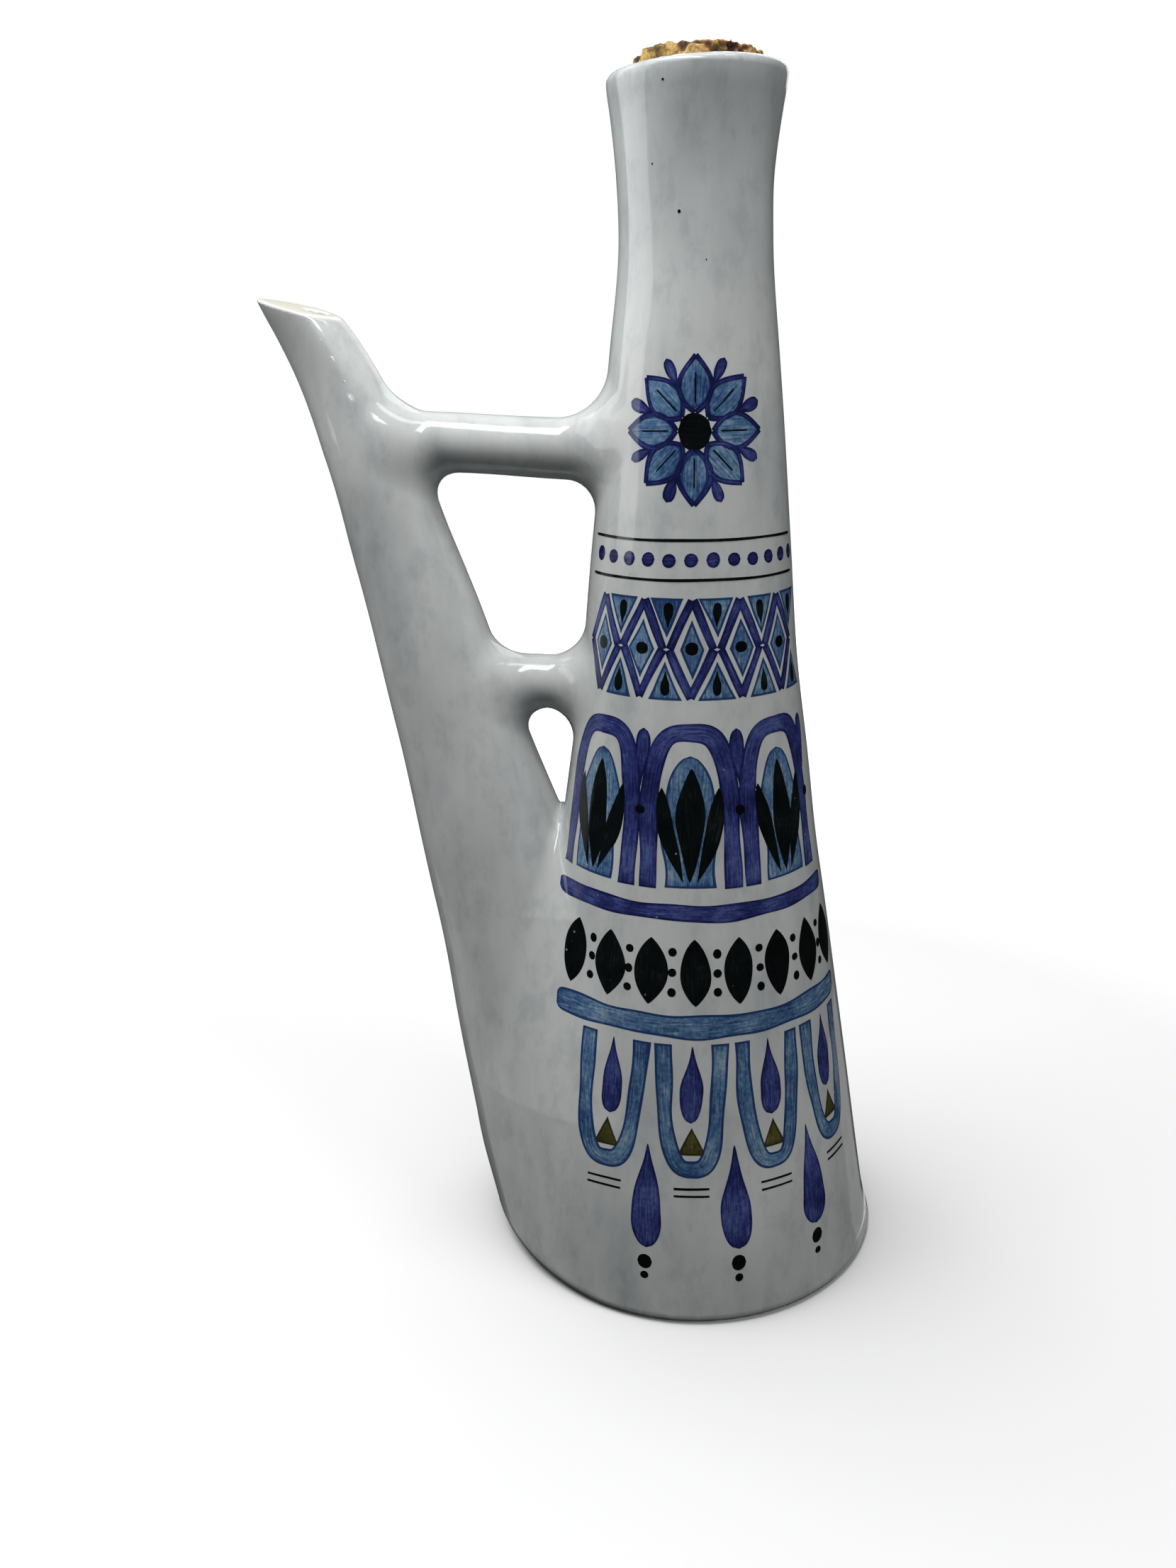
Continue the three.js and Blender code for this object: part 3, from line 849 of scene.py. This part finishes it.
def painted_object(name, colour, strokes):
    """All strokes of one colour as closed strips on the glaze."""
    starts, levels, faces = [], [], []
    marks = [[] for _ in range(5)]
    used = 0
    for order, (turn, z, *kept) in enumerate(strokes):
        n, m = turn.shape
        level = np.full((n, m), LIFT[colour] + LAYER_STEP * (order % LAYERS))
        level[:, 0] = level[:, -1] = EDGE_LIFT
        level[0] = level[-1] = EDGE_LIFT
        turn = closed(turn)
        z = closed(z)
        level = np.concatenate([level, np.full((n, 2), UNDER)], 1)
        cx, cy = body_centre(z)
        r = body_radius(z)
        starts.append(np.stack([cx + r * np.sin(turn), cy - r * np.cos(turn), z], -1).reshape(-1, 3))
        levels.append(level.ravel())
        for mark, grid in zip(marks, kept):
            mark.append(closed(grid).ravel())
        wide = m + 2
        for i in range(n - 1):
            for j in range(wide):
                k = (j + 1) % wide
                a = used + i * wide
                faces.append((a + j, a + wide + j, a + wide + k, a + k))
        faces.append(tuple(used + j for j in range(wide)))
        faces.append(tuple(used + (n - 1) * wide + j for j in range(wide - 1, -1, -1)))
        used += n * wide
    points = settle(outer_gap, np.concatenate(starts), np.concatenate(levels), 3)
    obj = new_object(name, points, faces)
    mesh = obj.data
    value, slope = slopes(outer_gap, points)
    slope /= np.linalg.norm(slope, axis=1)[:, None]
    mesh.polygons.foreach_set("use_smooth", np.ones(len(mesh.polygons), bool))
    mesh.normals_split_custom_set_from_vertices(slope.tolist())
    marks = [np.concatenate(mark).astype(np.float32) for mark in marks]
    for label, values in (("tone", marks[0]), ("rim", marks[1])):
        mesh.attributes.new(label, "FLOAT", "POINT").data.foreach_set("value", values)
    bristles = mesh.attributes.new("bristles", "FLOAT_VECTOR", "POINT")
    bristles.data.foreach_set("vector", np.stack(marks[2:], 1).ravel())
    return obj


painted = {}
for colour, strokes in paint.items():
    painted[colour] = painted_object("painted_" + colour, colour, strokes)
    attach(painted[colour], "bottle")

# Materials


def new_material(name):
    material = bpy.data.materials.new(name)
    material.use_nodes = True
    nodes = material.node_tree.nodes
    nodes.clear()
    shader = nodes.new("ShaderNodeBsdfPrincipled")
    output = nodes.new("ShaderNodeOutputMaterial")
    material.node_tree.links.new(shader.outputs["BSDF"], output.inputs["Surface"])
    return material, shader


def node(material, kind, inputs=(), **settings):
    """A shader node; inputs gives its sockets' values or the sockets they come from."""
    made = material.node_tree.nodes.new("ShaderNode" + kind)
    for key, value in settings.items():
        setattr(made, key, value)
    for key, value in dict(inputs).items():
        if isinstance(value, bpy.types.NodeSocket):
            material.node_tree.links.new(value, made.inputs[key])
        else:
            made.inputs[key].default_value = value
    return made


def ramp(material, source, stops):
    """A colour ramp over a socket; stops are (place, colour)."""
    made = node(material, "ValToRGB", {"Fac": source})
    elements = made.color_ramp.elements
    while len(elements) < len(stops):
        elements.new(0.5)
    for element, (place, colour) in zip(elements, stops):
        element.position = place
        element.color = (*colour, 1) if not isinstance(colour, float) else (colour, colour, colour, 1)
    return made.outputs["Color"]


def noise(material, where, scale, detail=3.0, roughness=0.5, stretch=(1, 1, 1)):
    place = node(material, "Mapping", {"Vector": where, "Scale": stretch})
    return node(material, "TexNoise", {"Vector": place.outputs["Vector"], "Scale": scale, "Detail": detail,
                                       "Roughness": roughness}).outputs["Fac"]


def mix(material, blend, factor, a, b):
    made = node(material, "Mix", data_type="RGBA", blend_type=blend)
    for socket, value in zip((made.inputs[0], made.inputs[6], made.inputs[7]), (factor, a, b)):
        if isinstance(value, bpy.types.NodeSocket):
            material.node_tree.links.new(value, socket)
        elif isinstance(value, float):
            socket.default_value = value
        else:
            socket.default_value = (*value, 1)
    return made.outputs[2]


def glossy(material, shader, place):
    """The glassy, faintly rippled surface that glaze and paint share."""
    shader.inputs["Roughness"].default_value = GLAZE_ROUGHNESS
    shader.inputs["IOR"].default_value = GLAZE_IOR
    ripple = noise(material, place, 95, 3, 0.55)
    bump = node(material, "Bump", {"Height": ripple, "Strength": 0.12, "Distance": 0.0006})
    material.node_tree.links.new(bump.outputs["Normal"], shader.inputs["Normal"])


# Glaze: clouds, mottling, runs and pinholes over an almost white ground, with painted light on the spout and
# painted shade on the neck's top and on undersides
GLAZE_COLOUR = (0.79, 0.815, 0.80)
MOUTH_COLOUR = (0.98, 0.96, 0.85)
SPECK_COLOUR = (0.42, 0.48, 0.56)
GLAZE_ROUGHNESS = 0.09
GLAZE_IOR = 1.5
CORK_ROUGHNESS = 0.75
glaze, shader = new_material("white_glaze")
place = node(glaze, "TexCoord").outputs["Object"]
clouds = ramp(glaze, noise(glaze, place, 34, 4, 0.62, (1, 1, 0.5)),
              ((0.32, (0.80, 0.815, 0.835)), (0.5, (0.955, 0.96, 0.965)), (0.64, (1.0, 1.0, 1.0))))
mottle = ramp(glaze, noise(glaze, place, 130, 5, 0.68, (1, 1, 0.6)),
              ((0.36, (0.86, 0.87, 0.88)), (0.5, (0.98, 0.98, 0.98)), (0.62, (1.0, 1.0, 1.0))))
runs = ramp(glaze, noise(glaze, place, 90, 3, 0.6, (1, 1, 0.12)),
            ((0.35, (0.93, 0.93, 0.925)), (0.6, (1.0, 1.0, 1.0))))
colour = mix(glaze, "MULTIPLY", 1.0, GLAZE_COLOUR, clouds)
colour = mix(glaze, "MULTIPLY", 1.0, colour, mottle)
colour = mix(glaze, "MULTIPLY", 1.0, colour, runs)
where = node(glaze, "SeparateXYZ", {0: place}).outputs
# Painted light: the glaze is a little darker towards the body and lighter towards the spout, in place of
# light that the lamps leave off the spout
sideways = node(glaze, "Math", {0: where["X"], 1: 10.0, 2: 1.0}, operation="MULTIPLY_ADD").outputs[0]
painted_light_on_spout = ramp(glaze, sideways, ((0.2, (1.0, 1.0, 1.0)), (0.7, (0.95, 0.955, 0.955))))
colour = mix(glaze, "MULTIPLY", 1.0, colour, painted_light_on_spout)
# Painted shade: the top of the neck is darker and a little bluer, in place of shade that the lamps leave out
upwards = node(glaze, "Math", {0: where["Z"], 1: 3.0}, operation="MULTIPLY").outputs[0]
painted_neck_shade = ramp(glaze, upwards, ((0.86, (1.0, 1.0, 1.0)), (0.98, (0.905, 0.915, 0.93))))
colour = mix(glaze, "MULTIPLY", 1.0, colour, painted_neck_shade)
# Greyer glaze where the clay faces down stands in for shade that the lights leave out
downwards = node(glaze, "SeparateXYZ", {0: node(glaze, "TexCoord").outputs["Normal"]}).outputs["Z"]
downwards = node(glaze, "Math", {0: downwards, 1: -1.0, 2: 0.0}, operation="MULTIPLY_ADD").outputs[0]
greyer = ramp(glaze, downwards, ((0.12, (1.0, 1.0, 1.0)), (0.5, (0.70, 0.71, 0.72))))
colour = mix(glaze, "MULTIPLY", 1.0, colour, greyer)
bare = node(glaze, "Attribute", attribute_name="bare").outputs["Fac"]
pins = node(glaze, "TexVoronoi", {"Vector": place, "Scale": 150.0, "Randomness": 1.0}).outputs["Distance"]
pins = ramp(glaze, pins, ((0.0, (0.36, 0.33, 0.31)), (0.045, (0.8, 0.79, 0.78)), (0.09, (1.0, 1.0, 1.0))))
some = ramp(glaze, noise(glaze, place, 60, 2), ((0.62, 0.0), (0.7, 0.5)))
colour = mix(glaze, "MULTIPLY", some, colour, pins)
colour = mix(glaze, "MIX", bare, colour, MOUTH_COLOUR)
glaze.node_tree.links.new(colour, shader.inputs["Base Color"])
glossy(glaze, shader, place)
for obj in clay.values():
    obj.data.materials.clear()
    obj.data.materials.append(glaze)

# Cork: grain, dark patches and cell walls, and dark pits
cork_look, shader = new_material("cork_grain")
place = node(cork_look, "TexCoord").outputs["Object"]
grain = ramp(cork_look, noise(cork_look, place, 380, 6, 0.7),
             ((0.34, (0.32, 0.16, 0.04)), (0.5, (0.68, 0.43, 0.14)), (0.66, (0.96, 0.70, 0.32))))
patches = ramp(cork_look, noise(cork_look, place, 150, 3, 0.6),
               ((0.38, (0.14, 0.12, 0.06)), (0.47, (0.70, 0.66, 0.46)), (0.58, (1.0, 1.0, 1.0))))
colour = mix(cork_look, "MULTIPLY", 1.0, grain, patches)
cells = node(cork_look, "TexVoronoi", {"Vector": place, "Scale": 330.0}, feature="DISTANCE_TO_EDGE")
cells = ramp(cork_look, cells.outputs["Distance"],
             ((0.0, (0.22, 0.13, 0.08)), (0.10, (0.85, 0.8, 0.75)), (0.2, (1.0, 1.0, 1.0))))
colour = mix(cork_look, "MULTIPLY", 0.6, colour, cells)
pit = node(cork_look, "Attribute", attribute_name="pit").outputs["Fac"]
dark = ramp(cork_look, pit,
            ((0.08, (1.0, 1.0, 1.0)), (0.3, (0.40, 0.28, 0.20)), (0.7, (0.07, 0.04, 0.025))))
colour = mix(cork_look, "MULTIPLY", 1.0, colour, dark)
cork_look.node_tree.links.new(colour, shader.inputs["Base Color"])
shader.inputs["Roughness"].default_value = CORK_ROUGHNESS
bump = node(cork_look, "Bump", {"Height": grain, "Strength": 0.5, "Distance": 0.0005})
cork_look.node_tree.links.new(bump.outputs["Normal"], shader.inputs["Normal"])
cork.data.materials.clear()
cork.data.materials.append(cork_look)

# Paint: how it shows, from thin to thick, and how strongly bristles, rims, pools and grains show
PAINTS = {
    "light_blue": (((0.05, (0.36, 0.46, 0.55)), (0.35, (0.155, 0.275, 0.43)), (0.6, (0.075, 0.16, 0.32)),
                    (0.95, (0.022, 0.055, 0.17))), 1.5, 1.0, 1.3, 0.8),
    "cobalt": (((0.1, (0.11, 0.15, 0.36)), (0.45, (0.045, 0.060, 0.235)), (0.75, (0.020, 0.026, 0.13)),
                (1.0, (0.010, 0.013, 0.07))), 1.5, 0.4, 1.3, 0.6),
    "black": (((0.05, (0.030, 0.040, 0.036)), (0.5, (0.006, 0.009, 0.009)), (0.9, (0.003, 0.004, 0.004))),
              1.0, 0.1, 1.0, 0.3),
    "olive": (((0.1, (0.19, 0.18, 0.07)), (0.5, (0.090, 0.087, 0.024)), (0.9, (0.036, 0.035, 0.012))),
              1.2, 0.5, 1.0, 0.8),
}


def weigh(material, amount, source, base):
    """base + amount * (source - 0.5)"""
    shift = node(material, "Math", {0: source, 1: 0.5}, operation="SUBTRACT").outputs[0]
    return node(material, "Math", {0: shift, 1: amount, 2: base}, operation="MULTIPLY_ADD").outputs[0]


for colour, (stops, hair, edge, pool, grain) in PAINTS.items():
    look, shader = new_material("paint_" + colour)
    place = node(look, "TexCoord").outputs["Object"]
    thick = node(look, "Attribute", attribute_name="tone").outputs["Fac"]
    way = node(look, "Attribute", attribute_name="bristles").outputs["Vector"]
    thick = weigh(look, hair, noise(look, way, 1.0, 3, 0.6, (0.16, 1.9, 1.0)), thick)
    thick = weigh(look, pool, noise(look, place, 70, 3, 0.6), thick)
    thick = weigh(look, grain, noise(look, place, 900, 3, 0.5), thick)
    rim = node(look, "Attribute", attribute_name="rim").outputs["Fac"]
    rim = ramp(look, rim, ((0.0, 1.0), (0.4, 0.8), (0.85, 0.0)))
    thick = node(look, "Math", {0: rim, 1: edge, 2: thick}, operation="MULTIPLY_ADD").outputs[0]
    shown = ramp(look, thick, stops)
    specks = node(look, "TexVoronoi", {"Vector": place, "Scale": 260.0}).outputs["Distance"]
    specks = ramp(look, specks, ((0.05, 1.0), (0.10, 0.0)))
    few = ramp(look, noise(look, place, 120, 1), ((0.60, 0.0), (0.66, 0.8)))
    specks = node(look, "Math", {0: specks, 1: few}, operation="MULTIPLY").outputs[0]
    shown = mix(look, "MIX", specks, shown, SPECK_COLOUR)
    look.node_tree.links.new(shown, shader.inputs["Base Color"])
    glossy(look, shader, place)
    painted[colour].data.materials.append(look)


def turned_axes(azimuth, elevation, roll):
    """Right, up and back of a thing that looks inward, from angles in degrees."""
    around = math.radians(azimuth)
    up = math.radians(elevation)
    back = Vector((math.cos(up) * math.sin(around), -math.cos(up) * math.cos(around), math.sin(up)))
    flat = Vector((0, 0, 1)).cross(back).normalized()
    right = Matrix.Rotation(math.radians(roll), 3, back) @ flat
    return right, back.cross(right), back


# Camera
scene = bpy.context.scene
CAMERA_PLACE = (0.0, -0.3857, 0.2810)
CAMERA_AZIMUTH = 4.824
CAMERA_ELEVATION = 17.901
CAMERA_ROLL = -0.771
CAMERA_LENS = 28.8
SENSOR_WIDTH = 36.0
camera_data = bpy.data.cameras.new("camera")
camera_data.lens = CAMERA_LENS
camera_data.sensor_width = SENSOR_WIDTH
camera_data.clip_start = 0.01
camera_data.clip_end = 20.0
camera = bpy.data.objects.new("camera", camera_data)
axes = Matrix(turned_axes(CAMERA_AZIMUTH, CAMERA_ELEVATION, CAMERA_ROLL)).transposed().to_4x4()
camera.matrix_world = Matrix.Translation(CAMERA_PLACE) @ axes
scene.collection.objects.link(camera)
scene.camera = camera

# Stage: a white floor that takes the shadow, and a bright bowl round it that only the camera sees
FLOOR_REACH = 1.6
BOWL_REACH = 2.4
STAGE_SIDES = 64
BOWL_ROWS = 16
turn = np.linspace(0, 2 * math.pi, STAGE_SIDES, endpoint=False)
ring = [(FLOOR_REACH * math.cos(t) / MM, FLOOR_REACH * math.sin(t) / MM, -0.05) for t in turn]
ground = new_object("ground", ring, [tuple(range(STAGE_SIDES))])
ball = []
for up in np.linspace(-math.pi / 2, math.pi / 2, BOWL_ROWS + 1):
    aside = BOWL_REACH / MM * math.cos(up)
    rise = BOWL_REACH / MM * math.sin(up)
    ball += [(aside * math.cos(t), aside * math.sin(t), rise) for t in turn]
panels = []
for k in range(BOWL_ROWS):
    low = k * STAGE_SIDES
    high = low + STAGE_SIDES
    for i in range(STAGE_SIDES):
        j = (i + 1) % STAGE_SIDES
        panels.append((low + j, low + i, high + i, high + j))
bowl = new_object("bowl", ball, panels)
for obj in (ground, bowl):
    obj.visible_diffuse = False
    obj.visible_glossy = False
    obj.visible_transmission = False
    obj.visible_shadow = False
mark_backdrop(ground, bowl)

white, shader = new_material("white_ground")
shader.inputs["Base Color"].default_value = (0.86, 0.86, 0.86, 1)
shader.inputs["Roughness"].default_value = 0.9
shader.inputs["Specular IOR Level"].default_value = 0.0
place = node(white, "TexCoord").outputs["Object"]
away = node(white, "VectorMath", {0: place}, operation="LENGTH").outputs["Value"]
far = ramp(white, away, ((0.25, 0.0), (0.9, 1.0)))
white.node_tree.links.new(far, shader.inputs["Emission Color"])
shader.inputs["Emission Strength"].default_value = 1.0
ground.data.materials.append(white)
backdrop, shader = new_material("white_backdrop")
shader.inputs["Base Color"].default_value = (0.0, 0.0, 0.0, 1)
shader.inputs["Specular IOR Level"].default_value = 0.0
shader.inputs["Emission Color"].default_value = (1.0, 1.0, 1.0, 1)
shader.inputs["Emission Strength"].default_value = 1.0
bowl.data.materials.append(backdrop)
for look in (white, backdrop):
    look.cycles.emission_sampling = "NONE"

# Light: two strips above, a window on the left, and weaker bright patches round the bottle
# Each has azimuth and elevation round the aim, distance, width and height in metres, roll, radiance
# and whether the glaze mirrors it
LIGHT_AIM = (0.0, 0.0, 0.2)
LAMPS = (
    ("strip_above", -24, 67, 0.60, 0.50, 0.12, 31, 12.6, True),
    ("strip_middle", 2, 80, 0.70, 0.57, 0.12, 0, 5.0, True),
    ("window_left", -91, 28, 0.72, 0.64, 0.64, 0, 2.0, True),
    ("glow_right", 72, 10, 0.66, 0.55, 0.70, 12, 0.90, False),
    ("glow_behind", 164, 40, 0.70, 0.43, 0.54, 0, 1.5, True),
    ("table_right", 135, -45, 0.70, 0.28, 0.35, 0, 0.25, True),
)
# Soft fills nearer to the body, with the height they face as the last value
FILLS = (
    ("table_left", -95, -35, 0.42, 0.35, 0.30, 8, 0.27, True, 0.04),
    ("fill_front", 15, 0, 0.32, 0.25, 0.25, 0, 0.13, False, 0.16),
    ("fill_low", 0, -20, 0.40, 0.20, 0.20, 0, 0.20, False, 0.10),
    ("fill_mouth", -90, 55, 0.20, 0.06, 0.06, 0, 3.4, False, 0.30),
    ("fill_behind", 180, 0, 0.45, 0.40, 0.40, 0, 0.75, False, 0.15),
)
DIM_ROOM = 0.008


def lamp(name, azimuth, elevation, distance, width, height, roll, radiance, mirrored, aim=LIGHT_AIM):
    """A rectangular light of even radiance that faces the aim."""
    axes = turned_axes(azimuth, elevation, -roll)
    data = bpy.data.lights.new(name, "AREA")
    data.shape = "RECTANGLE"
    data.size = width
    data.size_y = height
    data.energy = radiance * math.pi * width * height
    obj = bpy.data.objects.new(name, data)
    facing = Matrix(axes).transposed().to_4x4()
    obj.matrix_world = Matrix.Translation(Vector(aim) + distance * axes[2]) @ facing
    scene.collection.objects.link(obj)
    obj.visible_camera = False
    obj.visible_glossy = mirrored
    return obj


# The floor has lights of its own, so these leave it out
off_floor = bpy.data.collections.new("all_but_floor")
off_floor.objects.link(ground)
off_floor.collection_objects[0].light_linking.link_state = "EXCLUDE"
for settings in LAMPS:
    lamp(*settings).light_linking.receiver_collection = off_floor
for settings in FILLS:
    lamp(*settings[:-1], aim=(0, 0, settings[-1])).light_linking.receiver_collection = off_floor
world = bpy.data.worlds.new("surrounding")
world.use_nodes = True
world.node_tree.nodes["Background"].inputs["Color"].default_value = (1, 1, 1, 1)
world.node_tree.nodes["Background"].inputs["Strength"].default_value = DIM_ROOM
scene.world = world

# Two lights for the floor alone, which give the shadow its soft spread
FLOOR_LAMPS = (
    ("floor_above", -100, 75, 1.4, 1.2, 1.2, 0, 5.8, True),
    ("floor_low", 60, 18, 1.4, 0.8, 0.8, 0, 4.9, True),
)
lit = bpy.data.collections.new("lit_by_floor_lamps")
lit.objects.link(ground)
for settings in FLOOR_LAMPS:
    lamp(*settings, aim=(0, 0, 0)).light_linking.receiver_collection = lit
scene.view_settings.view_transform = "Standard"

low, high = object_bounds()
